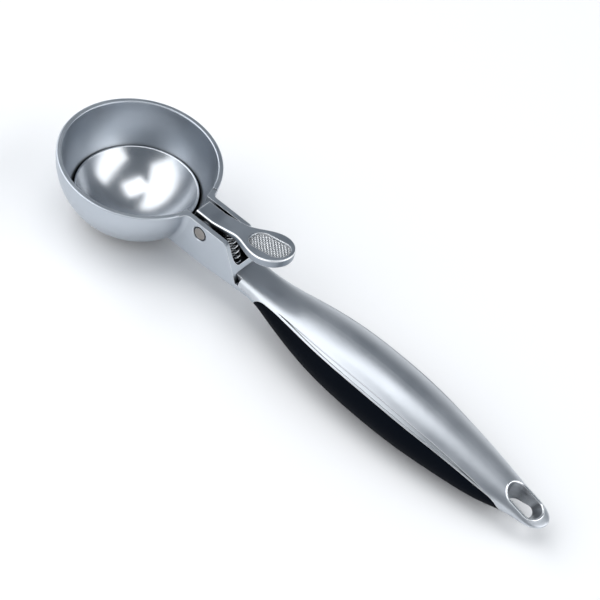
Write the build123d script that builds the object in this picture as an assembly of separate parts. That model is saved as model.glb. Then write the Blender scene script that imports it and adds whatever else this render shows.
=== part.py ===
from build123d import *
import math
import os
from typing import NamedTuple

# Lever ice cream scoop.  Millimetres, +Z up, +X from the bowl to the tail of the handle.
# The pieces are drawn about the centre of the bowl's rim circle, and main() moves them
# to the middle of the footprint, at the height of the bowl's lowest point.

# Bowl: a hemisphere cast in one with the neck and the tang
bowl_radius = 31.0
bowl_wall = 2.0
rim_round = 0.45
rim_step_height = 0.5
rim_step_half_angle = 19.7
neck_blend = 2.2
tool_reach = 124.0

# Neck: an open channel with a spring seat at its back end
neck_width = 14.7
neck_wall = 2.0
neck_depth = 18.5
neck_floor = 2.4
neck_edge_round = 0.8
neck_foot_round = 2.7
neck_ease_x = 41.5
channel_end_x = 54.2
channel_corner = 2.5
neck_end_x = 48.9
neck_end_angle = 60.4
neck_end_round = 2.2
neck_foot_height = 3.7

# Pivot: a headed pin across the neck
pivot_x = 37.2
pivot_depth = 5.0
pin_radius = 1.8
pin_head_radius = 2.35
pin_head_thickness = 0.7
pin_recess_radius = 2.9
pin_recess_depth = 0.9
pin_recess_chamfer = 0.35
press_clearance = 0.02
running_clearance = 0.05
joint_overlap = 0.5

# Thumb lever
lever_front_x = 31.3
lever_height = 0.4
lever_bend_x = 39.5
lever_bend_round = 14.0
lever_slope = 13.3
lever_half_width = 3.7
lever_thickness = 1.8
lever_edge_round = 0.6
pad_centre_x = 63.4
pad_half_length = 8.9
pad_half_width = 8.1
pad_neck_x = 48.5
skirt_depth = 3.7
skirt_wall = 1.4
skirt_start_x = 44.0
oval_length = 17.0
oval_width = 8.8
oval_centre_x = 62.5
oval_depth = 0.95
oval_draft = 20.0
knurl_pitch = 1.04
knurl_height = 0.42
knurl_root = 0.06
hub_radius = 3.6
side_clearance = 0.25
leg_toe = 2.3
leg_toe_height = 2.0
leg_front_run = 2.6
leg_hub_margin = 0.6
leg_heel = 2.52

# Ejector dish, pressed from sheet with a tail riveted to the lever
dish_side_gap = 1.3
dish_drop = 0.8
dish_sheet = 0.8
dish_rim_depth = 15.34
dish_rim_tilt = 4.4
dish_edge_round = 0.3
tail_half_width = 3.7
tail_angle = 17.0
tail_end_x = 35.8
tail_height = 9.0
tail_root_share = 0.8
rivet_radius = 0.9
rivet_head_radius = 1.5
rivet_head_height = 0.7
rivet_depth = 2.4
rivet_end_gap = 0.1
rivet_x = 32.6
rivet_spacing = 4.0

# Return spring, leaning back along the path of its upper end
spring_top_x = 44.6
spring_top_depth = 2.1
spring_lean = 28.0
spring_length = 14.0
spring_radius = 2.1
spring_wire = 0.8
spring_turns = 5.5
spring_end_turns = 1.0
spring_closed_gap = 0.016
spring_boss_radius = 2.9
spring_peg_radius = 1.45
spring_peg_length = 1.9

# Handle: an upper shell and a lower grip round the tang
handle_start_x = 55.7
handle_end_x = 198.3
shell_wall = 1.9
grip_wall = 2.88
grip_inset = 0.12
seam_gap = 0.1
groove_depth = 0.35
groove_width = 1.3
bead_width = 0.55
groove_start = 0.05
groove_crest = 0.52
groove_end = 0.99
tang_half_width = 5.0
tang_thickness = 3.0
tang_clearance = 0.15
tang_drop_start = 13.9
tang_drop_end = 19.4
tang_end_x = 164.0
tail_solid_x = 175.5

# Fastenings inside the handle
screw_shank_radius = 1.3
screw_head_radius = 2.4
screw_head_height = 1.5
screw_length = 6.4
screw_seat_depth = 0.3
screw_hole_clearance = 0.2
screw_slot_width = 0.7
screw_slot_depth = 0.6
screw_pilot_gap = 0.5
boss_radius = 3.1
screw_first_x = 87.0
screw_pitch = 34.0
screw_count = 3
clip_length = 8.0
clip_thickness = 1.5
clip_lip = 0.8
clip_clearance = 0.15
shell_front_gap = 0.15
shell_notch_x = 58.4
shell_notch_half_width = 5.5

# Hanging eye through the tail, with a raised lip
eye_front_x = 180.3
eye_back_x = 195.0
eye_half_width = 4.25
eye_foot_front_x = 180.6
eye_foot_back_x = 191.4
eye_foot_half_width = 3.4
eye_depth = 20.0
eye_foot_depth = 24.0
eye_lip_width = 0.85
eye_lip_height = 0.25
eye_lip_round = 0.3
eye_lip_depth = 18.9
eye_lip_slope = 0.27
eye_lip_root = 21.5
eye_collar = 2.4


class Section(NamedTuple):
    """One cross-section of the handle: its place, half width, heights and squareness."""

    x: float
    half_width: float
    top: float
    bottom: float
    squareness: float


# From the neck end through the waist and the palm swell to the flattened tail
handle_stations = [
    Section(52.0, 7.33, -11.8, -18.5, 0.94),
    Section(57.0, 7.33, -11.7, -18.5, 0.92),
    Section(64.5, 7.5, -11.5, -18.6, 0.80),
    Section(72.0, 8.75, -11.0, -20.9, 0.68),
    Section(82.0, 11.0, -9.7, -23.9, 0.61),
    Section(98.0, 13.7, -7.6, -27.7, 0.57),
    Section(120.0, 14.7, -7.1, -30.2, 0.56),
    Section(142.0, 13.9, -9.0, -30.5, 0.56),
    Section(158.0, 11.8, -11.5, -29.9, 0.57),
    Section(170.0, 10.0, -13.9, -28.6, 0.59),
    Section(178.0, 8.3, -15.6, -26.9, 0.60),
    Section(184.0, 7.0, -16.9, -25.1, 0.60),
    Section(190.0, 6.3, -18.5, -23.9, 0.60),
    Section(194.0, 5.5, -20.0, -23.1, 0.60),
    Section(197.0, 3.5, -20.7, -22.5, 0.57),
]
section_count = 26
tail_tip_radius = 0.45

# Places worked out from the sizes above
channel_half_width = neck_width / 2 - neck_wall
bowl_inner = bowl_radius - bowl_wall
dish_radius = bowl_inner - dish_side_gap
floor_z = neck_floor - neck_depth
ledge_depth = neck_depth - neck_foot_height
hub_half_width = channel_half_width - side_clearance
handle_middle_x = (handle_end_x - bowl_radius) / 2
lean = math.radians(spring_lean)
spring_axis = (math.sin(lean), 0, -math.cos(lean))
spring_top = (spring_top_x, 0, -spring_top_depth)
spring_bottom = tuple(a + spring_length * d for a, d in zip(spring_top, spring_axis))
tail_slope = math.tan(math.radians(tail_angle))
end_slope = math.tan(math.radians(neck_end_angle))
ledge_x = neck_end_x + (ledge_depth - rim_step_height) / end_slope


def side_solid(outline, half_width):
    """A solid of constant section across the scoop, from an outline in the X-Z plane."""
    face = make_face(outline)
    return extrude(face, amount=half_width, dir=(0, 1, 0), both=True)


def side_polygon(points, half_width):
    """The same from corner points (x, z)."""
    corners = [(x, 0, z) for x, z in points]
    return side_solid(Polyline(*corners, close=True), half_width)


def cross_cylinder(x, z, radius, half_width):
    """A cylinder across the scoop."""
    return Pos(x, 0, z) * Rot(90, 0, 0) * Cylinder(radius, 2 * half_width)


def quadrant(section, side, height, widest):
    """A quarter of a cross-section, from its widest point to its top or bottom."""
    k = section.squareness
    half_width = side * section.half_width
    rise = height - widest
    return Bezier(
        (section.x, half_width, widest),
        (section.x, half_width, widest + k * rise),
        (section.x, k * half_width, height),
        (section.x, 0, height),
    )


def section_face(section):
    """The closed cross-section as a face."""
    widest = (section.top + section.bottom) / 2
    quarters = [
        quadrant(section, side, height, widest)
        for side in (1, -1)
        for height in (section.top, section.bottom)
    ]
    return make_face(quarters)


def height_at(curve, x):
    """The height of a design curve over a given place along the handle."""
    low, high = 0.0, 1.0
    for _ in range(30):
        middle = (low + high) / 2
        if (curve @ middle).X < x:
            low = middle
        else:
            high = middle
    return (curve @ low).Y


def even_sections():
    """Evenly spaced cross-sections on smooth curves through the stations."""
    first, last = handle_stations[0].x, handle_stations[-1].x
    curves = [
        Spline(*[(station.x, station[i]) for station in handle_stations])
        for i in range(1, len(handle_stations[0]))
    ]
    step = (last - first) / (section_count - 1)
    places = [first + i * step for i in range(section_count)]
    return [Section(x, *[height_at(curve, x) for curve in curves]) for x in places]


handle_sections = even_sections()


def handle_body(inset=0.0):
    """The whole outer form of the handle, or the same form drawn in by an inset."""
    faces = []
    for section in handle_sections:
        slim = section._replace(
            half_width=section.half_width - inset,
            top=section.top - inset,
            bottom=section.bottom + inset,
        )
        if min(slim.half_width, (slim.top - slim.bottom) / 2) > tail_tip_radius:
            faces.append(section_face(slim))
    last = handle_sections[-1]
    if not inset:
        middle = (last.top + last.bottom) / 2
        tip = Section(
            handle_end_x, 2 * tail_tip_radius, middle + tail_tip_radius, middle - tail_tip_radius,
            last.squareness)
        faces.append(section_face(tip))
    return loft(faces)


# Seam between shell and grip, seen from the side: one long arc with turned-down ends
seam_front = (71.0, 0, -13.3)
seam_crown = (123.7, 0, -12.5)
seam_back = (176.0, 0, -19.0)
seam_front_tip = (65.0, 0, -21.0)
seam_back_tip = (184.6, 0, -28.5)
seam_nose_reach = 4.2
seam_tail_reach = 5.5
seam_nose_lean = 1.2
seam_tail_lean = 0.8
seam_corner_spread = 0.5


def seam_edges(grow=0.0):
    """The seam line, moved outward from the grip by a given amount."""
    front, crown, back, front_tip, back_tip = (
        Vector(*point) + Vector(*move) * grow
        for point, move in (
            (seam_front, (-seam_corner_spread, 0, 1)),
            (seam_crown, (0, 0, 1)),
            (seam_back, (seam_corner_spread, 0, 1)),
            (seam_front_tip, (-1, 0, 0)),
            (seam_back_tip, (1, 0, 0)),
        )
    )
    crest = ThreePointArc(front, crown, back)
    nose = Bezier(front, front - (crest % 0) * seam_nose_reach,
                  front_tip + Vector(seam_nose_lean, 0, seam_nose_reach), front_tip)
    tail = Bezier(back, back + (crest % 1) * seam_tail_reach,
                  back_tip + Vector(-seam_tail_lean, 0, seam_tail_reach), back_tip)
    return nose, crest, tail


def below_seam(grow=0.0):
    """Everything that lies under the seam, made larger by a given amount."""
    nose, crest, tail = seam_edges(grow)
    deep = -2 * bowl_radius
    left = nose @ 1
    right = tail @ 1
    foot = Polyline(left, (left.X, 0, deep), (right.X, 0, deep), right)
    return side_solid([nose, crest, tail, foot], tool_reach)


def tang_top(x):
    """Height of the tang's upper face."""
    share = (x - handle_start_x) / (tang_end_x - handle_start_x)
    return -tang_drop_start - share * (tang_drop_end - tang_drop_start)


def screw_places():
    """Where the shell's screws stand along the tang."""
    return [screw_first_x + i * screw_pitch for i in range(screw_count)]


def clip_places():
    """Where the grip's clips hold the tang, midway between the screws."""
    return [x + screw_pitch / 2 for x in screw_places()[:-1]]


def half_space(x, side):
    """Everything ahead of (-1) or behind (1) a plane across the scoop."""
    return Pos(x + side * tool_reach, 0, 0) * Box(2 * tool_reach, 2 * tool_reach, 2 * tool_reach)


def neck_end(gap=0.0):
    """Everything in front of the sloping back end of the neck, and a gap more."""
    foot_x = neck_end_x + (2 * neck_depth) / end_slope
    head_x = neck_end_x - bowl_radius / end_slope
    slant = gap / math.sin(math.radians(neck_end_angle))
    return side_polygon(
        [
            (head_x + slant, bowl_radius - rim_step_height),
            (foot_x + slant, -2 * neck_depth - rim_step_height),
            (-tool_reach, -2 * neck_depth - rim_step_height),
            (-tool_reach, bowl_radius - rim_step_height),
        ],
        tool_reach,
    )


def neck_foot(x, edge_round):
    """A cross-section of the lower part of the neck, its bottom corners rounded."""
    outline = Pos(0, -ledge_depth - neck_foot_height / 2) * Rectangle(neck_width, neck_foot_height)
    outline = fillet(outline.vertices().group_by(Axis.Y)[0], edge_round)
    return Plane.YZ.offset(x) * outline


def neck_bar():
    """The neck before it is hollowed: a bar with a sloping back end and easing edges."""
    profile = make_face(Polyline(
        (0, 0, -rim_step_height),
        (neck_end_x, 0, -rim_step_height),
        (ledge_x, 0, -ledge_depth),
        (0, 0, -ledge_depth),
        close=True,
    ))
    corner = profile.vertices().sort_by_distance((neck_end_x, 0, -rim_step_height))[0]
    profile = fillet(corner, neck_end_round)
    upper = extrude(profile, amount=neck_width / 2, dir=(0, 1, 0), both=True)
    front = loft([neck_foot(0, neck_edge_round), neck_foot(neck_ease_x, neck_edge_round)])
    rear = loft([neck_foot(neck_ease_x, neck_edge_round), neck_foot(ledge_x, neck_foot_round)])
    return upper + front + rear


def chin():
    """The underside of the handle between the neck and the nose of the grip."""
    under = side_polygon(
        [
            (ledge_x - joint_overlap, -ledge_depth),
            (seam_front[0], -ledge_depth),
            (seam_front[0], -2 * neck_depth),
            (ledge_x - joint_overlap, -2 * neck_depth),
        ],
        tool_reach,
    )
    return (handle_body() & under) - below_seam(seam_gap)


def channel():
    """The hollow of the neck, open to the bowl and to the top."""
    start = 0.5 * bowl_radius
    length = channel_end_x - start
    plan = Pos(start + length / 2, 0) * Rectangle(length, 2 * channel_half_width)
    corners = plan.vertices().group_by(Axis.X)[-1]
    plan = fillet(corners, channel_corner)
    hollow = Pos(0, 0, floor_z) * extrude(plan, amount=tool_reach)
    return hollow - (spring_frame(spring_bottom, 1) * below_seat())


def below_seat():
    """Everything beyond a spring seat, in the seat's own frame."""
    return Pos(0, 0, tool_reach) * Box(2 * tool_reach, 2 * tool_reach, 2 * tool_reach)


def spring_frame(point, outward):
    """A plane on a spring seat, facing along or against the spring."""
    direction = Vector(*spring_axis) * outward
    return Plane(origin=point, x_dir=(0, 1, 0), z_dir=direction)


def seat_peg(point, outward):
    """The peg that keeps an end of the spring in place."""
    peg = Pos(0, 0, spring_peg_length / 2 - joint_overlap) * Cylinder(
        spring_peg_radius, spring_peg_length + 2 * joint_overlap)
    return spring_frame(point, outward) * peg


def make_bowl_and_neck():
    """Bowl, neck and tang in one casting."""
    body = Sphere(bowl_radius) + neck_bar()
    crease = [
        edge for edge in body.edges().filter_by(GeomType.CIRCLE)
        if abs(abs(edge.center().Y) - neck_width / 2) < rim_round and edge.center().X < bowl_radius
    ]
    body = fillet(crease, neck_blend)
    body = body - Pos(0, 0, tool_reach) * Box(4 * tool_reach, 4 * tool_reach, 2 * tool_reach)
    body = body - Sphere(bowl_inner)
    rim = body.edges().filter_by(GeomType.CIRCLE).filter_by_position(Axis.Z, -rim_round, rim_round)
    body = fillet([edge for edge in rim if edge.radius < bowl_radius + rim_round], rim_round)
    body = body + chin() + make_tang()
    body = body - channel()
    body = body - rim_step()
    body = body + seat_peg(spring_bottom, -1)
    body = body - cross_cylinder(pivot_x, -pivot_depth, pin_radius + press_clearance, tool_reach)
    for side in (-1, 1):
        recess = Cylinder(pin_recess_radius, pin_recess_depth)
        place = side * (neck_width / 2 - pin_recess_depth / 2)
        body = body - Pos(pivot_x, place, -pivot_depth) * Rot(90, 0, 0) * recess
        flare = Cone(pin_recess_radius + pin_recess_chamfer, pin_recess_radius, pin_recess_chamfer)
        mouth = side * (neck_width / 2 - pin_recess_chamfer / 2)
        body = body - Pos(pivot_x, mouth, -pivot_depth) * Rot(side * 90, 0, 0) * flare
    return body


def rim_step():
    """What is taken off behind the faced rim, so that the neck walls lie a little lower."""
    reach = tool_reach
    half = reach * math.tan(math.radians(rim_step_half_angle))
    wedge = Polyline((0, 0), (reach, -half), (reach, half), close=True)
    return Pos(0, 0, -rim_step_height) * extrude(make_face(wedge), amount=tool_reach)


def tang_bar(grow=0.0):
    """The bar inside the handle, made larger all round by a given amount."""
    root_x = channel_end_x + neck_wall
    top = tang_top(root_x) + grow
    end_top = tang_top(tang_end_x) + grow
    outline = [
        (root_x - neck_wall / 2, top - grow),
        (root_x, top),
        (tang_end_x + grow, end_top),
        (tang_end_x + grow, end_top - tang_thickness - 2 * grow),
        (root_x, top - tang_thickness - 2 * grow),
        (root_x - neck_wall / 2, top - tang_thickness - 2 * grow),
    ]
    return side_polygon(outline, tang_half_width + grow)


def make_tang():
    """The tang with its screw holes and the flats under the screw heads."""
    tang = tang_bar()
    for x in screw_places():
        hole = Cylinder(screw_shank_radius + screw_hole_clearance, 6 * tang_thickness)
        flat = Cylinder(screw_head_radius + screw_hole_clearance, tang_thickness)
        tang = tang - Pos(x, 0, tang_top(x)) * hole
        tang = tang - Pos(x, 0, screw_seat(x) - tang_thickness / 2) * flat
    return tang


def screw_seat(x):
    """Height of the flat under a screw's head."""
    return tang_top(x) - tang_thickness + screw_seat_depth


def make_pivot_pin():
    """The pin: a shank with a head in each recess."""
    pin = cross_cylinder(pivot_x, -pivot_depth, pin_radius, neck_width / 2 - pin_recess_depth)
    for side in (-1, 1):
        middle = side * (neck_width / 2 - pin_recess_depth + pin_head_thickness / 2)
        head = Cylinder(pin_head_radius, pin_head_thickness)
        pin = pin + Pos(pivot_x, middle, -pivot_depth) * Rot(90, 0, 0) * head
    return pin


def lever_top(x):
    """Height of the lever's upper face."""
    rise = max(0.0, x - lever_bend_x)
    return lever_height + rise * math.tan(math.radians(lever_slope))


def lever_plan(inset=0.0):
    """The lever seen from above: a straight arm that swells into the thumb pad."""
    front_x = lever_front_x + inset
    arm = lever_half_width - inset
    pad = pad_half_width - inset
    sides = []
    for side in (1, -1):
        swell = Spline(
            (pad_neck_x, side * arm),
            (pad_centre_x, side * pad),
            tangents=[(1, 0), (1, 0)],
            tangent_scalars=[0.9, 1.15],
        )
        sides += [Line((front_x, side * arm), (pad_neck_x, side * arm)), swell]
    front = Line((front_x, arm), (front_x, -arm))
    end = EllipticalCenterArc(
        (pad_centre_x, 0), pad_half_length - inset, pad, start_angle=-90, arc_size=180)
    return make_face([front, end] + sides)


def lever_blank():
    """The lever plate with its skirt."""
    back = pad_centre_x + pad_half_length + 2 * joint_overlap
    front = lever_front_x - joint_overlap
    profile = make_face(Polyline(
        (front, 0, lever_height),
        (lever_bend_x, 0, lever_height),
        (back, 0, lever_top(back)),
        (back, 0, lever_top(back) - skirt_depth),
        (skirt_start_x, 0, lever_top(skirt_start_x) - lever_thickness),
        (lever_bend_x - joint_overlap, 0, lever_height - lever_thickness),
        (front, 0, lever_height - lever_thickness),
        close=True,
    ))
    bend = profile.vertices().sort_by_distance((lever_bend_x, 0, lever_height))[0]
    profile = fillet(bend, lever_bend_round)
    band = extrude(profile, amount=tool_reach, dir=(0, 1, 0), both=True)
    plate = Pos(0, 0, -bowl_radius) * extrude(lever_plan(), amount=2 * bowl_radius)
    blank = plate & band
    tops = [face for face in blank.faces() if face.normal_at().Z > 0.9]
    sides = [face for face in blank.faces() if abs(face.normal_at().Z) < 0.1]
    rim = [
        edge for face in tops for edge in face.edges()
        if any(borders(edge, side) for side in sides)
    ]
    blank = fillet(rim, lever_edge_round)
    hollow = Pos(0, 0, -bowl_radius) * extrude(lever_plan(skirt_wall), amount=2 * bowl_radius)
    under = side_polygon(
        [
            (back, lever_top(back) - lever_thickness),
            (skirt_start_x, lever_top(skirt_start_x) - lever_thickness),
            (skirt_start_x, lever_top(skirt_start_x) - 3 * skirt_depth),
            (back, lever_top(back) - 3 * skirt_depth),
        ],
        tool_reach,
    )
    return blank - (hollow & under)


def borders(edge, face):
    """Whether an edge is one of a face's own."""
    return any(edge.is_same(other) for other in face.edges())


def pad_frame(x):
    """A plane on the sloping pad, facing up."""
    slope = math.radians(lever_slope)
    normal = (-math.sin(slope), 0, math.cos(slope))
    along = (math.cos(slope), 0, math.sin(slope))
    return Plane(origin=(x, 0, lever_top(x)), x_dir=along, z_dir=normal)


def oval_recess(depth):
    """The oval sunk into the pad, its wall drawn in as it goes down."""
    return extrude(SlotOverall(oval_length, oval_width), amount=-depth, taper=oval_draft)


def knurl():
    """Rows of small pyramids on the floor of the oval, left between crossed V grooves."""
    band = Pos(0, 0, -oval_depth - knurl_root + (knurl_height + knurl_root) / 2) * Box(
        oval_length, oval_width, knurl_height + knurl_root)
    slab = oval_recess(oval_depth + knurl_root) & band
    grooves = []
    count = math.ceil(oval_length / knurl_pitch / 2)
    tip = knurl_height - oval_depth
    rise = tip + knurl_height / 2
    spread = knurl_pitch / 2 * (1 + (rise - tip) / knurl_height)
    for turn in (-45, 45):
        for i in range(-count, count + 1):
            middle = i * knurl_pitch
            outline = Polyline(
                (middle, 0, -oval_depth), (middle + spread, 0, rise), (middle - spread, 0, rise),
                close=True)
            groove = extrude(make_face(outline), amount=oval_length, dir=(0, 1, 0), both=True)
            grooves.append(Rot(0, 0, turn) * groove)
    for groove in grooves:
        slab = slab - groove
    return slab


def tail_z(x):
    """Height of the upper face of the dish's tail, where the lever's leg sits on it."""
    return -tail_height + (x - tail_end_x) * tail_slope


def make_thumb_lever():
    """Thumb pad, arm, hub and the leg that holds the dish."""
    lever = lever_blank()
    lever = lever + cross_cylinder(pivot_x, -pivot_depth, hub_radius, hub_half_width)
    under = lever_height - lever_thickness / 2
    toe_x = rivet_x - leg_toe
    leg = [
        (toe_x, tail_z(toe_x)),
        (toe_x, tail_z(toe_x) + leg_toe_height),
        (toe_x + leg_front_run, under),
        (pivot_x + hub_radius + leg_hub_margin, under),
        (pivot_x + leg_heel, -pivot_depth - leg_heel),
        (tail_end_x, tail_z(tail_end_x)),
    ]
    lever = lever + side_polygon(leg, lever_half_width)
    boss_height = lever_top(spring_top_x) + spring_top_depth
    boss = Pos(0, 0, -boss_height / 2) * Cylinder(spring_boss_radius, boss_height)
    root = lever_thickness / 3
    keep = side_polygon(
        [
            (lever_bend_x, lever_top(lever_bend_x) - root),
            (pad_centre_x, lever_top(pad_centre_x) - root),
            (pad_centre_x, -bowl_radius),
            (lever_bend_x, -bowl_radius),
        ],
        tool_reach,
    )
    lever = lever + ((spring_frame(spring_top, 1) * boss) & keep)
    lever = lever + seat_peg(spring_top, 1)
    bore = pin_radius + running_clearance
    lever = lever - cross_cylinder(pivot_x, -pivot_depth, bore, tool_reach)
    lever = lever - pad_frame(oval_centre_x) * oval_recess(oval_depth)
    lever = lever + pad_frame(oval_centre_x) * knurl()
    for side in (-1, 1):
        lever = lever - rivet_frame(side) * Pos(0, 0, rivet_depth / 2) * Cylinder(
            rivet_radius + press_clearance, rivet_depth)
    return lever


def rivet_frame(side):
    """A plane on the joint between tail and leg, facing up into the leg."""
    angle = math.radians(tail_angle)
    return Plane(
        origin=(rivet_x, side * rivet_spacing / 2, tail_z(rivet_x)),
        x_dir=(math.cos(angle), 0, math.sin(angle)),
        z_dir=(-math.sin(angle), 0, math.cos(angle)),
    )


def make_dish_rivets():
    """Two drive rivets with round heads under the tail."""
    rivets = []
    for side in (-1, 1):
        shank_length = rivet_depth + dish_sheet - rivet_end_gap
        shank = Pos(0, 0, shank_length / 2 - dish_sheet) * Cylinder(rivet_radius, shank_length)
        dome = Sphere((rivet_head_radius**2 + rivet_head_height**2) / (2 * rivet_head_height))
        lift = dome.bounding_box().max.Z - rivet_head_height
        dome = Pos(0, 0, lift) * dome
        dome = dome & Pos(0, 0, -rivet_head_radius) * Cylinder(rivet_head_radius, 2 * rivet_head_radius)
        head = Pos(0, 0, -dish_sheet) * dome
        rivets.append(rivet_frame(side) * (shank + head))
    return rivets


def make_ejector_dish():
    """A thin spherical dish whose tail bends back to the lever."""
    centre = Pos(0, 0, -dish_drop)
    skin = centre * Sphere(dish_radius) - centre * Sphere(dish_radius - dish_sheet)
    tilt = math.tan(math.radians(dish_rim_tilt))
    reach = 2 * bowl_radius
    lower = side_polygon(
        [
            (-reach, -dish_rim_depth - tilt * reach),
            (reach, -dish_rim_depth + tilt * reach),
            (reach, -reach - dish_rim_depth),
            (-reach, -reach - dish_rim_depth),
        ],
        reach,
    )
    dish = skin & lower
    rim_edges = dish.edges().filter_by(GeomType.CIRCLE).sort_by(Axis.Z)[-2:]
    dish = fillet(rim_edges, dish_edge_round)
    root_x = dish_radius * tail_root_share
    drop = dish_sheet / math.cos(math.radians(tail_angle))
    strip = side_polygon(
        [
            (root_x, tail_z(root_x)),
            (tail_end_x, tail_z(tail_end_x)),
            (tail_end_x, tail_z(tail_end_x) - drop),
            (root_x, tail_z(root_x) - drop),
        ],
        tail_half_width,
    )
    under_strip = side_polygon(
        [(root_x, tail_z(root_x)), (reach, tail_z(reach)), (reach, -reach), (root_x, -reach)],
        tail_half_width)
    inside = centre * Sphere(dish_radius - dish_sheet)
    dish = dish + (skin & under_strip) + (strip - inside)
    for side in (-1, 1):
        hole = rivet_frame(side) * Cylinder(rivet_radius + press_clearance, 4 * dish_sheet)
        dish = dish - hole
    return dish


def make_return_spring():
    """A compression spring with closed end turns."""
    closed = (spring_wire + spring_closed_gap) * spring_end_turns
    rise = spring_length - spring_wire - 2 * closed
    open_pitch = rise / spring_turns
    path = Helix(open_pitch, rise, spring_radius)
    section = Plane(origin=path @ 0, z_dir=path % 0) * Circle(spring_wire / 2)
    coil = sweep(section, path, is_frenet=True)
    base = spring_wire / 2
    coil = Pos(0, 0, base + closed) * coil
    lower_end = Pos(0, 0, base) * Torus(spring_radius, spring_wire / 2)
    upper_end = Pos(0, 0, spring_length - base) * Torus(spring_radius, spring_wire / 2)
    frame = spring_frame(spring_top, 1)
    return frame * coil, frame * lower_end, frame * upper_end


def eye_plan(front_x, back_x, half_width):
    """The hanging eye seen from above."""
    middle = (front_x + back_x) / 2
    return Pos(middle, 0) * SlotOverall(back_x - front_x, 2 * half_width)


def eye_hole():
    """The hanging eye, narrowing downwards, most of all at the back."""
    upper = eye_plan(eye_front_x, eye_back_x, eye_half_width)
    lower = eye_plan(eye_foot_front_x, eye_foot_back_x, eye_foot_half_width)
    mouth = Pos(0, 0, -eye_depth) * extrude(upper, amount=eye_depth)
    throat = loft([Pos(0, 0, -eye_depth) * upper, Pos(0, 0, -eye_foot_depth) * lower])
    foot = Pos(0, 0, -2 * bowl_radius) * extrude(lower, amount=2 * bowl_radius - eye_foot_depth)
    return mouth + throat + foot


def eye_collar_bar(grow):
    """A bar round the hanging eye."""
    plan = eye_plan(eye_front_x - grow, eye_back_x + grow, eye_half_width + grow)
    return Pos(0, 0, -2 * bowl_radius) * extrude(plan, amount=4 * bowl_radius)


def eye_lip():
    """The raised lip of the hanging eye, level with a plane that slopes with the tail."""
    middle = (eye_front_x + eye_back_x) / 2
    top = eye_lip_height - eye_lip_depth
    rise = eye_lip_slope * bowl_radius
    under = side_polygon(
        [
            (middle - bowl_radius, top + rise),
            (middle + bowl_radius, top - rise),
            (middle + bowl_radius, top - 3 * rise),
            (middle - bowl_radius, top - 3 * rise),
        ],
        tool_reach,
    )
    above = Pos(0, 0, tool_reach - eye_lip_root) * Box(4 * tool_reach, tool_reach, 2 * tool_reach)
    lip = eye_collar_bar(eye_lip_width) & under & above
    return fillet(lip.faces().sort_by(Axis.Z)[-1].edges(), eye_lip_round)


def solid_tail():
    """The part of the handle behind which the shell is cast solid."""
    return Pos(tail_solid_x + tool_reach / 2, 0, 0) * Box(tool_reach, tool_reach, tool_reach)


def make_handle_shell():
    """The upper shell of the handle, cast solid at the tail round the hanging eye."""
    outer = handle_body()
    shell = outer - (below_seam(seam_gap) - eye_collar_bar(eye_collar))
    nose_x = seam_front[0] + joint_overlap
    ledge = side_polygon(
        [
            (0, -ledge_depth + seam_gap),
            (nose_x, -ledge_depth + seam_gap),
            (nose_x, -2 * neck_depth),
            (0, -2 * neck_depth),
        ],
        tool_reach,
    )
    shell = shell - ledge - neck_end(shell_front_gap)
    for side in (-1, 1):
        shell = shell - Pos(0, side * (shell_notch_half_width + tool_reach), 0) * (
            half_space(shell_notch_x, -1) & Box(4 * tool_reach, 2 * tool_reach, 4 * tool_reach))
    shell = shell - (handle_body(shell_wall) - solid_tail())
    shell = shell - tang_bar(tang_clearance)
    shell = shell - seam_groove(outer)
    within = handle_body(shell_wall / 2)
    for x in screw_places():
        boss = Pos(x, 0, tang_top(x) + bowl_radius + tang_clearance) * Cylinder(
            boss_radius, 2 * bowl_radius)
        pilot_depth = screw_length - tang_thickness + screw_pilot_gap
        pilot = Pos(x, 0, tang_top(x) + pilot_depth / 2) * Cylinder(
            screw_shank_radius + press_clearance, pilot_depth)
        shell = shell + (boss & within) - pilot
    return shell + eye_lip() - eye_hole()


def seam_groove(outer):
    """A shallow groove above the seam that leaves a fine bead along the shell's edge."""
    lens_bottom = seam_edges(bead_width)[1]
    start = lens_bottom @ groove_start
    end = lens_bottom @ groove_end
    middle = lens_bottom @ groove_crest
    crest = ThreePointArc(start, middle + Vector(0, 0, groove_width), end)
    base = ThreePointArc(start, middle, end)
    lens = side_solid([crest, base], tool_reach)
    return (outer & lens) - handle_body(groove_depth)


def make_grip():
    """The lower half of the handle: a soft moulding that clips to the tang."""
    grip = (handle_body(grip_inset) & below_seam(-seam_gap)) - handle_body(grip_inset + grip_wall)
    grip = grip - eye_collar_bar(eye_collar + 2 * seam_gap)
    grip = grip - tang_bar(tang_clearance)
    within = handle_body(grip_inset + grip_wall / 2)
    inner = tang_half_width + clip_clearance
    for x in clip_places():
        top = tang_top(x - clip_length / 2) + clip_lip + clip_clearance
        for side in (-1, 1):
            finger = Pos(x, side * (inner + clip_thickness / 2), top - bowl_radius / 2) * Box(
                clip_length, clip_thickness, bowl_radius)
            lip = Pos(x, side * (inner + (clip_thickness - clip_lip) / 2), top - clip_lip / 2) * Box(
                clip_length, clip_thickness + clip_lip, clip_lip)
            grip = grip + ((finger + lip) & within)
    return grip


def make_screws():
    """The screws that draw the shell down on the tang."""
    screws = []
    for x in screw_places():
        seat = screw_seat(x)
        shank = Pos(x, 0, seat + screw_length / 2) * Cylinder(screw_shank_radius, screw_length)
        head = Pos(x, 0, seat - screw_head_height / 2) * Cylinder(screw_head_radius, screw_head_height)
        slot = Pos(x, 0, seat - screw_head_height) * Box(
            2 * screw_head_radius, screw_slot_width, 2 * screw_slot_depth)
        screws.append(shank + head - slot)
    return screws


def save(name, shape):
    """Write one node, moved to the middle of the footprint."""
    shapes = shape if isinstance(shape, (list, tuple)) else [shape]
    place = Pos(-handle_middle_x, 0, bowl_radius)
    solids = [place * s for piece in shapes for s in piece.solids()]
    whole = solids[0] if len(solids) == 1 else Compound(children=solids)
    whole.label = name
    export_step(whole, f"parts/{name}.step")


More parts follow.
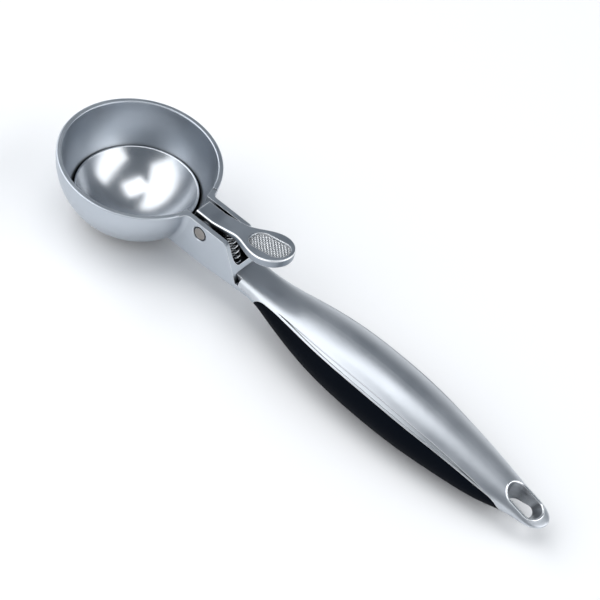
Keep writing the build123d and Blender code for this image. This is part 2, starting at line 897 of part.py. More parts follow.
def main():
    os.makedirs("parts", exist_ok=True)
    save("bowl_and_neck", make_bowl_and_neck())
    save("pivot_pin", make_pivot_pin())
    save("thumb_lever", make_thumb_lever())
    save("ejector_dish", make_ejector_dish())
    save("dish_rivets", make_dish_rivets())
    save("return_spring", make_return_spring())
    save("handle_shell", make_handle_shell())
    save("grip_insert", make_grip())
    save("shell_screws", make_screws())


main()
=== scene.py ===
"""Looks of the lever ice cream scoop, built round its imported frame.

Lengths of the scoop and its finishes are in millimetres, those of the studio in metres. Every
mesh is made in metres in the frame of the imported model: +X from the bowl to the tail, +Z up
out of the open bowl.
"""
import logging
import math
from dataclasses import dataclass, field
from enum import Enum
from typing import Any, Optional

import bpy
from mathutils import Matrix, Vector


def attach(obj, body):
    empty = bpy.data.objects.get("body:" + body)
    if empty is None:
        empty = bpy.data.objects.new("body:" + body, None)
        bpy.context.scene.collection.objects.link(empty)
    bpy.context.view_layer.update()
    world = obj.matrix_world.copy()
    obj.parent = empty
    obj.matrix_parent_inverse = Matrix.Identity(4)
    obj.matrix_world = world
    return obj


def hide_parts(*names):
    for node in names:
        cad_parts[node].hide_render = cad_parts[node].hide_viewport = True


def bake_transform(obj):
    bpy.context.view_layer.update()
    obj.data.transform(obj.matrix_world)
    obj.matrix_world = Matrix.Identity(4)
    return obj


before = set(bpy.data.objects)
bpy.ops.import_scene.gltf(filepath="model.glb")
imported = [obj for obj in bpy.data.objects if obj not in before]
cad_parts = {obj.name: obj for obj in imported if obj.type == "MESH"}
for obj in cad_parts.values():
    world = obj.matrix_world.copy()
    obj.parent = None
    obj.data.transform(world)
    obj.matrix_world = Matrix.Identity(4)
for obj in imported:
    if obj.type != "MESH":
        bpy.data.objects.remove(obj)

LOG = logging.getLogger("scoop")
MILLIMETRE = 0.001

# Places of the colour sockets on a mix node
MIX_FIRST, MIX_SECOND, MIX_COLOUR = 6, 7, 2
# Middle values of a noise pattern, stretched so that a finish uses its whole range
NOISE_MIDDLE = {"From Min": 0.3, "From Max": 0.7}
# Cosine between the rounded and the flat normal, from an edge painted near white for wear and
# as a highlight to an untouched face
EDGE_WEAR_AND_HIGHLIGHT = {"From Min": 0.9, "From Max": 0.995, "To Min": 1.0, "To Max": 0.0}
# Upward part of the normal: where a side ends and a rounded edge begins
ABOVE_SIDE = {"From Min": 0.15, "From Max": 0.35}
# Upward part of the normal: where a rounded edge ends and an upper face begins
BELOW_TOP = {"From Min": 0.88, "From Max": 0.95, "To Min": 1.0, "To Max": 0.0}
# Share of open sky over a place, from the bottom of a hollow to an open face, which sets the
# painted shade in hollows
OPEN_SKY = {"From Min": 0.3, "From Max": 0.8}
# The same between the points of a knurl, from the painted shade in the pits to the points
OPEN_PITS = {"From Min": 0.72, "From Max": 0.96}
# Share of the way from the middle of the oval to its edge, where it fades out
OVAL_FADE = {"From Min": 0.97, "From Max": 1.0, "To Min": 1.0, "To Max": 0.0}
# Soft clouds with some smaller ones in them, and an even grain
CLOUDS = {"Detail": 4.0, "Roughness": 0.55}
GRAIN = {"Detail": 2.0, "Roughness": 0.6}
RUBS = {"Detail": 3.0}
EDGE_SAMPLES = 4
SKY_SAMPLES = 8


class Body(Enum):
    """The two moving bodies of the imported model."""

    FRAME = "frame"
    LEVER = "lever"


class Slot(Enum):
    """The record's material slots for the pieces made here; no piece here is given them."""

    SHELL_ZINC = "shell_zinc"
    SPRING_STEEL = "spring_steel"


def linear(code: str) -> tuple[float, float, float, float]:
    """Turn an sRGB hex colour into linear light.

    Args:
        code: Six hex digits with a leading hash.

    Returns:
        Red, green, blue and an alpha of one.
    """
    def channel(start: int) -> float:
        """Linear value of the two digits that start at a place."""
        value = int(code[start:start + 2], 16) / 255
        return value / 12.92 if value <= 0.04045 else ((value + 0.055) / 1.055) ** 2.4
    return channel(1), channel(3), channel(5), 1.0


def pattern_scale(size_mm: float) -> float:
    """Scale of a noise pattern in object space from the size of its grains.

    Args:
        size_mm: Size of one grain in millimetres.

    Returns:
        The pattern's scale per metre.
    """
    return 1.0 / (size_mm * MILLIMETRE)


def add_node(
    tree: bpy.types.NodeTree,
    kind: str,
    settings: Optional[dict[str, Any]] = None,
    inputs: Optional[dict[Any, Any]] = None,
) -> bpy.types.Node:
    """Add one node with its settings and what feeds it.

    Args:
        tree: The node tree that takes the node.
        kind: Blender's class name of the node.
        settings: Properties of the node, or values of its inputs, by name.
        inputs: Sockets or values that feed the node's inputs, by input name or index.

    Returns:
        The new node.
    """
    node = tree.nodes.new(kind)
    for name, value in (settings or {}).items():
        if hasattr(node, name):
            setattr(node, name, value)
        else:
            node.inputs[name].default_value = value
    for name, value in (inputs or {}).items():
        if isinstance(value, bpy.types.NodeSocket):
            tree.links.new(value, node.inputs[name])
        else:
            node.inputs[name].default_value = value
    return node


def new_material(name: str) -> tuple[bpy.types.Material, bpy.types.NodeTree]:
    """An empty node material.

    Args:
        name: The material's name.

    Returns:
        The material and its cleared node tree.
    """
    material = bpy.data.materials.new(name)
    material.use_nodes = True
    material.node_tree.nodes.clear()
    return material, material.node_tree


@dataclass(frozen=True)
class BuffedOval:
    """A knurled oval: its points take a lighter tone, part buffed metal and part painted
    highlight, over painted shade in the pits.
    """

    centre_x_mm: float
    half_length_mm: float
    half_width_mm: float
    tone: str
    roughness: float
    pit_shade_mm: float = 0.7

    def mask(self, tree: bpy.types.NodeTree, place: bpy.types.Node) -> bpy.types.NodeSocket:
        """One inside the oval and nothing outside it.

        Args:
            tree: The node tree of the finish.
            place: The node that gives the coordinates.

        Returns:
            The mask's socket.
        """
        along = pattern_scale(self.half_length_mm)
        across = pattern_scale(self.half_width_mm)
        start = -self.centre_x_mm / self.half_length_mm
        unit = add_node(
            tree, "ShaderNodeMapping",
            {"Location": (start, 0.0, 0.0), "Scale": (along, across, 0.0)},
            {"Vector": place.outputs["Object"]})
        reach = add_node(
            tree, "ShaderNodeVectorMath", {"operation": "LENGTH"}, {0: unit.outputs["Vector"]})
        edge = add_node(
            tree, "ShaderNodeMapRange", OVAL_FADE, {"Value": reach.outputs["Value"]})
        return edge.outputs["Result"]


@dataclass(frozen=True)
class MetalFinish:
    """A bare metal surface: cloudy polish, fine grain, edges painted near white for wear and
    as a highlight, and painted shade in hollows.

    A flag can also paint a highlight on the rounded edges between an upper face and a side.
    """

    name: str
    light_tone: str
    dark_tone: str
    roughness_low: float
    roughness_high: float
    cloud_mm: float
    grain_mm: float
    grain_depth_mm: float
    edge_round_mm: float
    # Near-white tone painted on edges, part wear and part painted highlight
    edge_wear_and_highlight_tone: str = "#F2F4F6"
    # Dark grey of the painted shade in hollows and creases, and how far the probe for it
    # reaches
    painted_shade_tone: str = "#2A2E34"
    shade_reach_mm: float = 12.0
    painted_round_highlights: bool = False
    oval: Optional[BuffedOval] = None

    def edge_wear_and_highlight(
        self, tree: bpy.types.NodeTree, rounded: bpy.types.Node,
    ) -> bpy.types.NodeSocket:
        """One on sharp edges, which are painted near white, part wear and part painted
        highlight.

        Args:
            tree: The node tree of the finish.
            rounded: The node that rounds the edges.

        Returns:
            The mask's socket.
        """
        flat = add_node(tree, "ShaderNodeNewGeometry")
        bend = add_node(
            tree, "ShaderNodeVectorMath", {"operation": "DOT_PRODUCT"},
            {0: rounded.outputs["Normal"], 1: flat.outputs["Normal"]})
        edge = add_node(
            tree, "ShaderNodeMapRange", EDGE_WEAR_AND_HIGHLIGHT, {"Value": bend.outputs["Value"]})
        return edge.outputs["Result"]

    def painted_round_highlight(
        self, tree: bpy.types.NodeTree, place: bpy.types.Node,
    ) -> bpy.types.NodeSocket:
        """One on the rounded edge between an upper face and a side, where a highlight is
        painted.

        Args:
            tree: The node tree of the finish.
            place: The node that gives the normal in the piece's own axes.

        Returns:
            The mask's socket.
        """
        split = add_node(tree, "ShaderNodeSeparateXYZ", None, {0: place.outputs["Normal"]})
        above_side = add_node(
            tree, "ShaderNodeMapRange", ABOVE_SIDE, {"Value": split.outputs["Z"]})
        below_top = add_node(
            tree, "ShaderNodeMapRange", BELOW_TOP, {"Value": split.outputs["Z"]})
        both = add_node(
            tree, "ShaderNodeMath", {"operation": "MULTIPLY"},
            {0: above_side.outputs["Result"], 1: below_top.outputs["Result"]})
        return both.outputs["Value"]

    def knurl(
        self, tree: bpy.types.NodeTree, oval: BuffedOval, place: bpy.types.Node,
        tone: bpy.types.Node, gloss: bpy.types.Node,
    ) -> tuple[bpy.types.Node, bpy.types.Node]:
        """Lay the knurled oval, with painted shade in its pits and a partly painted highlight
        on its points, over the tone and the roughness.

        Args:
            tree: The node tree of the finish.
            oval: The knurled oval.
            place: The node that gives the coordinates.
            tone: The node that mixes the tone outside the oval.
            gloss: The node that gives the roughness outside the oval.

        Returns:
            The nodes that give the tone and the roughness with the oval.
        """
        mask = oval.mask(tree, place)
        # Painted shade in the pits, and a lighter tone on the points that is partly a painted
        # highlight
        pit_shade = add_node(
            tree, "ShaderNodeAmbientOcclusion",
            {"samples": SKY_SAMPLES, "Distance": oval.pit_shade_mm * MILLIMETRE})
        point_share = add_node(
            tree, "ShaderNodeMapRange", OPEN_PITS, {"Value": pit_shade.outputs["AO"]})
        points = add_node(
            tree, "ShaderNodeMix", {"data_type": "RGBA"},
            {"Factor": point_share.outputs["Result"], MIX_FIRST: linear(self.painted_shade_tone),
             MIX_SECOND: linear(oval.tone)})
        laid = add_node(
            tree, "ShaderNodeMix", {"data_type": "RGBA"},
            {"Factor": mask, MIX_FIRST: tone.outputs[MIX_COLOUR],
             MIX_SECOND: points.outputs[MIX_COLOUR]})
        buffed = add_node(
            tree, "ShaderNodeMapRange", {"To Max": oval.roughness},
            {"Value": mask, "To Min": gloss.outputs["Result"]})
        return laid, buffed

    def material(self) -> bpy.types.Material:
        """Build the finish.

        Returns:
            The material, ready for a piece.
        """
        material, tree = new_material(self.name)
        place = add_node(tree, "ShaderNodeTexCoord")
        cloud = add_node(
            tree, "ShaderNodeTexNoise",
            {"Scale": pattern_scale(self.cloud_mm), **CLOUDS},
            {"Vector": place.outputs["Object"]})
        grain = add_node(
            tree, "ShaderNodeTexNoise",
            {"Scale": pattern_scale(self.grain_mm), **GRAIN},
            {"Vector": place.outputs["Object"]})
        tone = add_node(
            tree, "ShaderNodeMix", {"data_type": "RGBA"},
            {"Factor": cloud.outputs["Fac"], MIX_FIRST: linear(self.dark_tone),
             MIX_SECOND: linear(self.light_tone)})
        gloss = add_node(
            tree, "ShaderNodeMapRange",
            {**NOISE_MIDDLE, "To Min": self.roughness_low, "To Max": self.roughness_high},
            {"Value": cloud.outputs["Fac"]})
        # Painted highlight along the rounded edge between an upper face and a side
        if self.painted_round_highlights:
            tone = add_node(
                tree, "ShaderNodeMix", {"data_type": "RGBA"},
                {"Factor": self.painted_round_highlight(tree, place),
                 MIX_FIRST: tone.outputs[MIX_COLOUR], MIX_SECOND: linear(self.edge_wear_and_highlight_tone)})
        if self.oval:
            tone, gloss = self.knurl(tree, self.oval, place, tone, gloss)
        rounded = add_node(
            tree, "ShaderNodeBevel",
            {"samples": EDGE_SAMPLES, "Radius": self.edge_round_mm * MILLIMETRE})
        # Sharp edges painted near white, part wear and part painted highlight
        tone = add_node(
            tree, "ShaderNodeMix", {"data_type": "RGBA"},
            {"Factor": self.edge_wear_and_highlight(tree, rounded),
             MIX_FIRST: tone.outputs[MIX_COLOUR], MIX_SECOND: linear(self.edge_wear_and_highlight_tone)})
        # Painted shade: the tone darkens towards a dark grey where little open sky reaches, in
        # hollows, creases and between parts
        shade_probe = add_node(
            tree, "ShaderNodeAmbientOcclusion",
            {"samples": SKY_SAMPLES, "Distance": self.shade_reach_mm * MILLIMETRE})
        lit_share = add_node(
            tree, "ShaderNodeMapRange", OPEN_SKY, {"Value": shade_probe.outputs["AO"]})
        tone = add_node(
            tree, "ShaderNodeMix", {"data_type": "RGBA"},
            {"Factor": lit_share.outputs["Result"], MIX_FIRST: linear(self.painted_shade_tone),
             MIX_SECOND: tone.outputs[MIX_COLOUR]})
        bump = add_node(
            tree, "ShaderNodeBump",
            {"Strength": 1.0, "Distance": self.grain_depth_mm * MILLIMETRE},
            {"Height": grain.outputs["Fac"], "Normal": rounded.outputs["Normal"]})
        shader = add_node(
            tree, "ShaderNodeBsdfPrincipled",
            {"Metallic": 1.0},
            {"Base Color": tone.outputs[MIX_COLOUR], "Roughness": gloss.outputs["Result"],
             "Normal": bump.outputs["Normal"]})
        add_node(tree, "ShaderNodeOutputMaterial", None, {"Surface": shader.outputs["BSDF"]})
        return material


@dataclass(frozen=True)
class MouldedPlastic:
    """Moulded ABS in a near-black navy, from a spark-eroded mould.

    The fine skin scatters the light, so the grip stays dark with no clear reflection, and
    its specular level is lowered for that. The skin's cells are drawn coarser than the real
    ones, which are too fine to show. Faint rubbed places keep it from looking flat.
    """

    name: str = "moulded_abs_navy"
    ior: float = 1.53
    specular: float = 0.03
    dark_tone: str = "#03060C"
    worn_tone: str = "#080E17"
    roughness_low: float = 0.42
    roughness_high: float = 0.58
    rub_mm: float = 26.0
    skin_mm: float = 0.45
    skin_depth_mm: float = 0.012
    edge_round_mm: float = 0.25

    def material(self) -> bpy.types.Material:
        """Build the finish.

        Returns:
            The material, ready for the grip.
        """
        material, tree = new_material(self.name)
        place = add_node(tree, "ShaderNodeTexCoord")
        rub = add_node(
            tree, "ShaderNodeTexNoise",
            {"Scale": pattern_scale(self.rub_mm), **RUBS},
            {"Vector": place.outputs["Object"]})
        skin = add_node(
            tree, "ShaderNodeTexVoronoi",
            {"Scale": pattern_scale(self.skin_mm)},
            {"Vector": place.outputs["Object"]})
        tone = add_node(
            tree, "ShaderNodeMix", {"data_type": "RGBA"},
            {"Factor": rub.outputs["Fac"], MIX_FIRST: linear(self.dark_tone),
             MIX_SECOND: linear(self.worn_tone)})
        gloss = add_node(
            tree, "ShaderNodeMapRange",
            {**NOISE_MIDDLE, "To Min": self.roughness_low, "To Max": self.roughness_high},
            {"Value": rub.outputs["Fac"]})
        rounded = add_node(
            tree, "ShaderNodeBevel",
            {"samples": EDGE_SAMPLES, "Radius": self.edge_round_mm * MILLIMETRE})
        bump = add_node(
            tree, "ShaderNodeBump",
            {"Strength": 1.0, "Distance": self.skin_depth_mm * MILLIMETRE},
            {"Height": skin.outputs["Distance"], "Normal": rounded.outputs["Normal"]})
        shader = add_node(
            tree, "ShaderNodeBsdfPrincipled",
            {"Metallic": 0.0, "IOR": self.ior, "Specular IOR Level": self.specular},
            {"Base Color": tone.outputs[MIX_COLOUR], "Roughness": gloss.outputs["Result"],
             "Normal": bump.outputs["Normal"]})
        add_node(tree, "ShaderNodeOutputMaterial", None, {"Surface": shader.outputs["BSDF"]})
        return material


@dataclass(frozen=True)
class PaintedFloor:
    """A seamless studio floor in matte white paint, which gives a soft shadow and no gloss."""

    name: str = "pale_floor"
    tone: str = "#FCFCFD"
    shade: str = "#F8F9FA"
    patch_mm: float = 300.0
    roughness: float = 0.9

    def material(self) -> bpy.types.Material:
        """Build the finish.

        Returns:
            The floor's material.
        """
        material, tree = new_material(self.name)
        place = add_node(tree, "ShaderNodeTexCoord")
        patch = add_node(
            tree, "ShaderNodeTexNoise", {"Scale": pattern_scale(self.patch_mm)},
            {"Vector": place.outputs["Object"]})
        tone = add_node(
            tree, "ShaderNodeMix", {"data_type": "RGBA"},
            {"Factor": patch.outputs["Fac"], MIX_FIRST: linear(self.shade),
             MIX_SECOND: linear(self.tone)})
        shader = add_node(
            tree, "ShaderNodeBsdfPrincipled", {"Roughness": self.roughness},
            {"Base Color": tone.outputs[MIX_COLOUR]})
        add_node(tree, "ShaderNodeOutputMaterial", None, {"Surface": shader.outputs["BSDF"]})
        return material


# The grain of each metal is finer than the picture can show, so it is drawn a few times
# coarser, and shallow enough to break up a highlight without being seen as bumps.

# Die-cast zinc, tumbled to a satin: broad soft highlights and a faint cloudiness
SATIN_ZINC = MetalFinish(
    name="die_cast_zinc_satin", light_tone="#C3C9D0", dark_tone="#B5BCC4",
    roughness_low=0.31, roughness_high=0.41, cloud_mm=14.0,
    grain_mm=0.35, grain_depth_mm=0.002, edge_round_mm=0.25)
# The same alloy on the handle, which the palm has worn: lighter, with softer highlights
PALM_ZINC = MetalFinish(
    name="die_cast_zinc_palm", light_tone="#C9CDD2", dark_tone="#BCC1C7",
    roughness_low=0.34, roughness_high=0.43, cloud_mm=18.0,
    grain_mm=0.35, grain_depth_mm=0.002, edge_round_mm=0.25)
# The same alloy as cast on the lever: a darker, flatter grey with a painted highlight on its
# rounded edge, and a knurled oval whose buffed points take a lighter tone, part buffed metal
# and part painted highlight, above painted shade in the pits
LEVER_ZINC = MetalFinish(
    name="die_cast_zinc_lever", light_tone="#9FA6AE", dark_tone="#949BA4",
    roughness_low=0.34, roughness_high=0.44, cloud_mm=10.0,
    grain_mm=0.3, grain_depth_mm=0.003, edge_round_mm=0.45, painted_round_highlights=True,
    oval=BuffedOval(
        centre_x_mm=-21.15, half_length_mm=8.9, half_width_mm=4.8,
        tone="#D5DADF", roughness=0.15))
# Zinc polished by hands and hooks on a thin lip, with a near-white tone painted all round as
# its highlight
LIP_PAINTED_HIGHLIGHT = MetalFinish(
    name="die_cast_zinc_lip_painted_highlight", light_tone="#F4F6F8", dark_tone="#E8EBEE",
    roughness_low=0.16, roughness_high=0.24, cloud_mm=5.0,
    grain_mm=0.3, grain_depth_mm=0.001, edge_round_mm=0.1, shade_reach_mm=0.5)
# Pressed stainless sheet, buffed: mirrors the lights with only a slight haze
BUFFED_SHEET = MetalFinish(
    name="pressed_stainless_buffed", light_tone="#CFD2D6", dark_tone="#C4C8CD",
    roughness_low=0.2, roughness_high=0.27, cloud_mm=9.0,
    grain_mm=0.6, grain_depth_mm=0.001, edge_round_mm=0.15, shade_reach_mm=2.5)
# Drawn stainless wire: a bright line along each turn
DRAWN_WIRE = MetalFinish(
    name="drawn_spring_wire", light_tone="#E4E6E8", dark_tone="#CFD2D5",
    roughness_low=0.2, roughness_high=0.3, cloud_mm=2.0,
    grain_mm=0.2, grain_depth_mm=0.002, edge_round_mm=0.05, shade_reach_mm=0.8)
# Turned and pressed steel: brownish grey and duller than the casting round it
TURNED_STEEL = MetalFinish(
    name="turned_steel_pin", light_tone="#A29E9A", dark_tone="#8A8581",
    roughness_low=0.34, roughness_high=0.46, cloud_mm=2.5,
    grain_mm=0.15, grain_depth_mm=0.003, edge_round_mm=0.2)


def cad_dress(node: str, material: bpy.types.Material) -> bpy.types.Object:
    """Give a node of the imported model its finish.

    Args:
        node: The node's name.
        material: The finish.

    Returns:
        The node's object.
    """
    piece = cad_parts[node]
    piece.data.materials.clear()
    piece.data.materials.append(material)
    LOG.info("%s dressed in %s", node, material.name)
    return piece


@dataclass
class Casting:
    """Bowl, neck and tang in one casting, with its pivot pin."""

    finish: MetalFinish = SATIN_ZINC
    pin_finish: MetalFinish = TURNED_STEEL

    def build(self) -> None:
        """Dress the casting and the pin."""
        cad_dress("bowl_and_neck", self.finish.material())
        cad_dress("pivot_pin", self.pin_finish.material())


@dataclass
class Handle:
    """Upper shell, lower grip and the screws that join them."""

    shell_finish: MetalFinish = PALM_ZINC
    grip_finish: MouldedPlastic = field(default_factory=MouldedPlastic)
    screw_finish: MetalFinish = TURNED_STEEL

    def build(self) -> None:
        """Dress the pieces of the handle."""
        cad_dress("handle_shell", self.shell_finish.material())
        cad_dress("grip_insert", self.grip_finish.material())
        cad_dress("shell_screws", self.screw_finish.material())


@dataclass
class LeverGroup:
    """Thumb lever with the ejector dish riveted under it."""

    lever_finish: MetalFinish = LEVER_ZINC
    dish_finish: MetalFinish = BUFFED_SHEET
    rivet_finish: MetalFinish = TURNED_STEEL

    def build(self) -> None:
        """Dress the pieces that swing with the lever."""
        cad_dress("thumb_lever", self.lever_finish.material())
        cad_dress("ejector_dish", self.dish_finish.material())
        cad_dress("dish_rivets", self.rivet_finish.material())


@dataclass
class HangingEye:
    """The lip round the mouth of the hanging eye, painted bright all round as a highlight."""

    front_x: float = 96.65
    back_x: float = 111.35
    half_width: float = 4.25
    outward: float = 0.4
    radius: float = 0.42
    sink: float = 0.12
    straight_points: int = 20
    arc_points: int = 24
    ring_points: int = 10
    probe_height: float = 60.0
    finish: MetalFinish = LIP_PAINTED_HIGHLIGHT

    def outline(self) -> list[tuple[float, float]]:
        """Points round the mouth: two straights joined by two half circles."""
        reach = self.half_width + self.outward
        front = self.front_x + self.half_width
        back = self.back_x - self.half_width
        points = []
        for centre, side in ((back, 1.0), (front, -1.0)):
            for step in range(self.arc_points):
                angle = math.pi * (step / self.arc_points - 0.5)
                points.append((
                    centre + side * reach * math.cos(angle), side * reach * math.sin(angle)))
            for step in range(self.straight_points):
                share = step / self.straight_points
                points.append((centre - side * share * (back - front), side * reach))
        return points

    def centre_line(self, shell: bpy.types.Object) -> list[Vector]:
        """The outline laid on top of the tail.

        Args:
            shell: The handle's shell, which carries the lip.

        Returns:
            Points in millimetres.
        """
        down = Vector((0.0, 0.0, -1.0))
        points = []
        for x, y in self.outline():
            start = Vector((x, y, self.probe_height)) * MILLIMETRE
            found, spot, _, _ = shell.ray_cast(start, down)
            height = spot.z / MILLIMETRE if found else points[-1].z
            points.append(Vector((x, y, height - self.sink)))
        return points

    def mesh(self, shell: bpy.types.Object) -> bpy.types.Mesh:
        """A closed ring of round section.

        Args:
            shell: The handle's shell, which carries the lip.

        Returns:
            The mesh in metres.
        """
        line = self.centre_line(shell)
        total, count = len(line), self.ring_points
        up = Vector((0.0, 0.0, 1.0))
        vertices: list[Vector] = []
        faces: list[tuple[int, ...]] = []
        for index, point in enumerate(line):
            along = (line[(index + 1) % total] - line[index - 1]).normalized()
            side = along.cross(up).normalized()
            rise = side.cross(along)
            following = (index + 1) % total
            for step in range(count):
                angle = 2 * math.pi * step / count
                offset = side * math.cos(angle) + rise * math.sin(angle)
                vertices.append((point + offset * self.radius) * MILLIMETRE)
                beside = (step + 1) % count
                faces.append((
                    index * count + step, following * count + step,
                    following * count + beside, index * count + beside))
        mesh = bpy.data.meshes.new("eye_lip")
        mesh.from_pydata(vertices, [], faces)
        mesh.polygons.foreach_set("use_smooth", [True] * len(faces))
        mesh.update()
        return mesh

    def build(self) -> bpy.types.Object:
        """Lay the lip on the shell.

        Returns:
            The lip's object.
        """
        piece = bpy.data.objects.new("eye_lip", self.mesh(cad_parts["handle_shell"]))
        bpy.context.scene.collection.objects.link(piece)
        piece.data.materials.append(self.finish.material())
        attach(piece, Body.FRAME.value)
        LOG.info("%s laid round the eye", piece.name)
        return piece


@dataclass
class ReturnSpring:
    """The compression spring: one wire wound from closed end to closed end.

    The pitches count in wire diameters: closed_pitch is that of the closed turns.
    seated_pitch, meant for how much of each end stays flat on its seat as the spring bends, is
    not used.
    """

    top: tuple[float, float, float] = (-39.05, 0.0, 28.9)
    lean_degrees: float = 28.0
    length: float = 14.0
    coil_radius: float = 2.1
    wire: float = 0.8
    open_turns: float = 5.5
    closed_turns: float = 1.0
    closed_pitch: float = 1.02
    seated_pitch: float = 1.5
    points_per_turn: int = 28
    ring_points: int = 12
    finish: MetalFinish = DRAWN_WIRE

    def axis(self) -> Vector:
        """Unit vector from the top seat to the bottom seat."""
        lean = math.radians(self.lean_degrees)
        return Vector((math.sin(lean), 0.0, -math.cos(lean)))

    def centre_line(self) -> list[Vector]:
        """Points along the wire's middle, from the top end to the bottom end."""
        turns = self.open_turns + 2 * self.closed_turns
        count = int(turns * self.points_per_turn)
        side = Vector((0.0, 1.0, 0.0))
        other = self.axis().cross(side)
        closed_rise = self.closed_turns * self.wire * self.closed_pitch
        open_rise = self.length - self.wire - 2 * closed_rise
        points = []
        for index in range(count + 1):
            turn = turns * index / count
            first = min(turn, self.closed_turns)
            middle = min(max(turn - self.closed_turns, 0.0), self.open_turns)
            last = max(turn - self.closed_turns - self.open_turns, 0.0)
            closed = (first + last) / self.closed_turns * closed_rise
            rise = self.wire / 2 + closed + middle / self.open_turns * open_rise
            angle = 2 * math.pi * turn
            ring = side * math.cos(angle) + other * math.sin(angle)
            points.append(Vector(self.top) + self.axis() * rise + ring * self.coil_radius)
        return points

    def mesh(self) -> bpy.types.Mesh:
        """The wire as a closed tube.

        Returns:
            The mesh in metres.
        """
        line = self.centre_line()
        vertices: list[Vector] = []
        faces: list[tuple[int, ...]] = []
        count = self.ring_points
        for index, point in enumerate(line):
            ahead = line[min(index + 1, len(line) - 1)] - line[max(index - 1, 0)]
            along = ahead.normalized()
            reach = point - Vector(self.top)
            out = reach - self.axis() * reach.dot(self.axis())
            across = (out - along * out.dot(along)).normalized()
            up = along.cross(across)
            for step in range(count):
                angle = 2 * math.pi * step / count
                offset = across * math.cos(angle) + up * math.sin(angle)
                vertices.append((point + offset * (self.wire / 2)) * MILLIMETRE)
        for index in range(len(line) - 1):
            low, high = index * count, (index + 1) * count
            for step in range(count):
                following = (step + 1) % count
                faces.append((low + step, low + following, high + following, high + step))
        faces.append(tuple(reversed(range(count))))
        faces.append(tuple(range(len(vertices) - count, len(vertices))))
        mesh = bpy.data.meshes.new("return_spring_coil")
        mesh.from_pydata(vertices, [], faces)
        mesh.polygons.foreach_set("use_smooth", [len(face) == 4 for face in faces])
        mesh.update()
        return mesh

    def build(self) -> bpy.types.Object:
        """Make the spring, its lower end on the neck's seat and its upper end on the lever.

        Returns:
            The spring's object.
        """
        piece = bpy.data.objects.new("return_spring_coil", self.mesh())
        bpy.context.scene.collection.objects.link(piece)
        piece.data.materials.append(self.finish.material())
        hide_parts("return_spring")
        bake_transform(piece)
        LOG.info("%s wound with %d points", piece.name, len(piece.data.vertices))
        return piece


@dataclass(frozen=True)
class Softbox:
    """A rectangular studio light that faces the scoop, in degrees and metres."""

    name: str
    azimuth: float
    elevation: float
    distance: float
    width: float
    height: float
    radiance: float

    def build(self) -> None:
        """Place the light."""
        turn = math.radians(self.azimuth)
        lift = math.radians(self.elevation)
        direction = Vector((
            math.cos(lift) * math.cos(turn), math.cos(lift) * math.sin(turn), math.sin(lift)))
        lamp = bpy.data.lights.new(self.name, "AREA")
        lamp.shape = "RECTANGLE"
        lamp.size = self.width
        lamp.size_y = self.height
        lamp.energy = self.radiance * math.pi * self.width * self.height
        holder = bpy.data.objects.new(self.name, lamp)
        holder.location = direction * self.distance
        holder.rotation_euler = direction.to_track_quat("Z", "Y").to_euler()
        bpy.context.scene.collection.objects.link(holder)


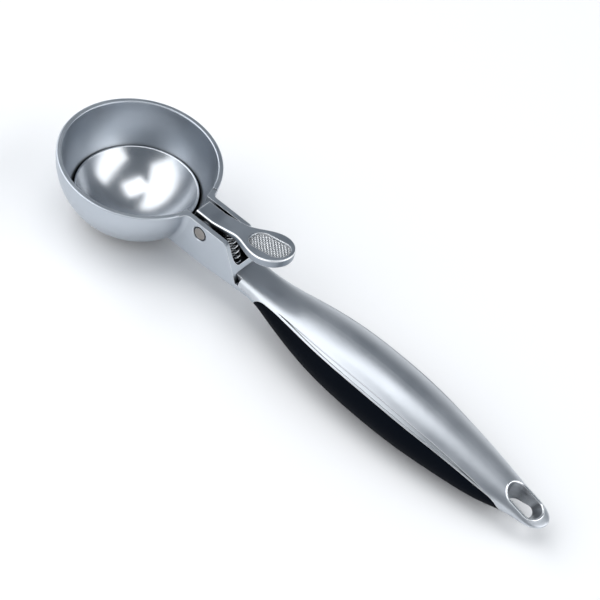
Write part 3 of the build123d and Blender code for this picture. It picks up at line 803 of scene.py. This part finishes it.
@dataclass
class Studio:
    """Floor, camera, room light and softboxes, with places and sizes in metres."""

    camera_place: tuple[float, float, float] = (0.24377, -0.46640, 0.59795)
    camera_right: tuple[float, float, float] = (0.7462, 0.6363, 0.1958)
    camera_back: tuple[float, float, float] = (0.3163, -0.5976, 0.7367)
    lens: float = 130.79
    sensor: float = 36.0
    clip: float = 0.01
    floor_size: float = 8.0
    room_low: str = "#F2F4F6"
    room_high: str = "#6E757D"
    glow_low: float = 0.12
    glow_high: float = 0.42
    softboxes: tuple[Softbox, ...] = (
        Softbox("softbox_left_front", azimuth=-152.0, elevation=43.0, distance=1.3,
                width=2.3, height=1.25, radiance=1.9),
        Softbox("softbox_right_back", azimuth=18.0, elevation=37.0, distance=1.3,
                width=1.6, height=1.0, radiance=1.9),
        Softbox("softbox_top", azimuth=165.0, elevation=84.0, distance=1.3,
                width=0.8, height=0.6, radiance=2.2),
    )
    floor_finish: PaintedFloor = field(default_factory=PaintedFloor)

    def build_camera(self) -> None:
        """Place the camera."""
        back = Vector(self.camera_back).normalized()
        right = Vector(self.camera_right)
        right = (right - back * right.dot(back)).normalized()
        up = back.cross(right)
        camera = bpy.data.cameras.new("studio_camera")
        camera.lens = self.lens
        camera.sensor_width = self.sensor
        camera.clip_start = self.clip
        holder = bpy.data.objects.new("studio_camera", camera)
        turn = Matrix((right, up, back)).transposed().to_4x4()
        holder.matrix_world = Matrix.Translation(self.camera_place) @ turn
        bpy.context.scene.collection.objects.link(holder)
        bpy.context.scene.camera = holder

    def build_floor(self) -> None:
        """Lay the floor under the scoop."""
        half = self.floor_size / 2
        mesh = bpy.data.meshes.new("studio_floor")
        corners = [(-half, -half, 0), (half, -half, 0), (half, half, 0), (-half, half, 0)]
        mesh.from_pydata(corners, [], [(0, 1, 2, 3)])
        floor = bpy.data.objects.new("studio_floor", mesh)
        floor.data.materials.append(self.floor_finish.material())
        bpy.context.scene.collection.objects.link(floor)

    def build_room(self) -> None:
        """Light the room softly, brightest near the horizon."""
        world = bpy.data.worlds.new("studio_room")
        world.use_nodes = True
        tree = world.node_tree
        tree.nodes.clear()
        place = add_node(tree, "ShaderNodeTexCoord")
        split = add_node(tree, "ShaderNodeSeparateXYZ", None, {0: place.outputs["Generated"]})
        rise = add_node(
            tree, "ShaderNodeMapRange",
            {"From Min": self.glow_low, "From Max": self.glow_high},
            {"Value": split.outputs["Z"]})
        tone = add_node(
            tree, "ShaderNodeMix", {"data_type": "RGBA"},
            {"Factor": rise.outputs["Result"], MIX_FIRST: linear(self.room_low),
             MIX_SECOND: linear(self.room_high)})
        light = add_node(
            tree, "ShaderNodeBackground", {"Strength": 1.0},
            {"Color": tone.outputs[MIX_COLOUR]})
        add_node(tree, "ShaderNodeOutputWorld", None, {"Surface": light.outputs["Background"]})
        bpy.context.scene.world = world
        bpy.context.scene.view_settings.view_transform = "Standard"

    def build(self) -> None:
        """Set up everything round the scoop."""
        self.build_camera()
        self.build_floor()
        self.build_room()
        for softbox in self.softboxes:
            softbox.build()
        LOG.info("studio with %d softboxes", len(self.softboxes))


def main() -> None:
    """Build the studio and dress each sub-assembly."""
    logging.basicConfig(level=logging.INFO)
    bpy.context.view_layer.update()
    Studio().build()
    Casting().build()
    Handle().build()
    LeverGroup().build()
    HangingEye().build()
    ReturnSpring().build()


if __name__ == "__main__":
    main()
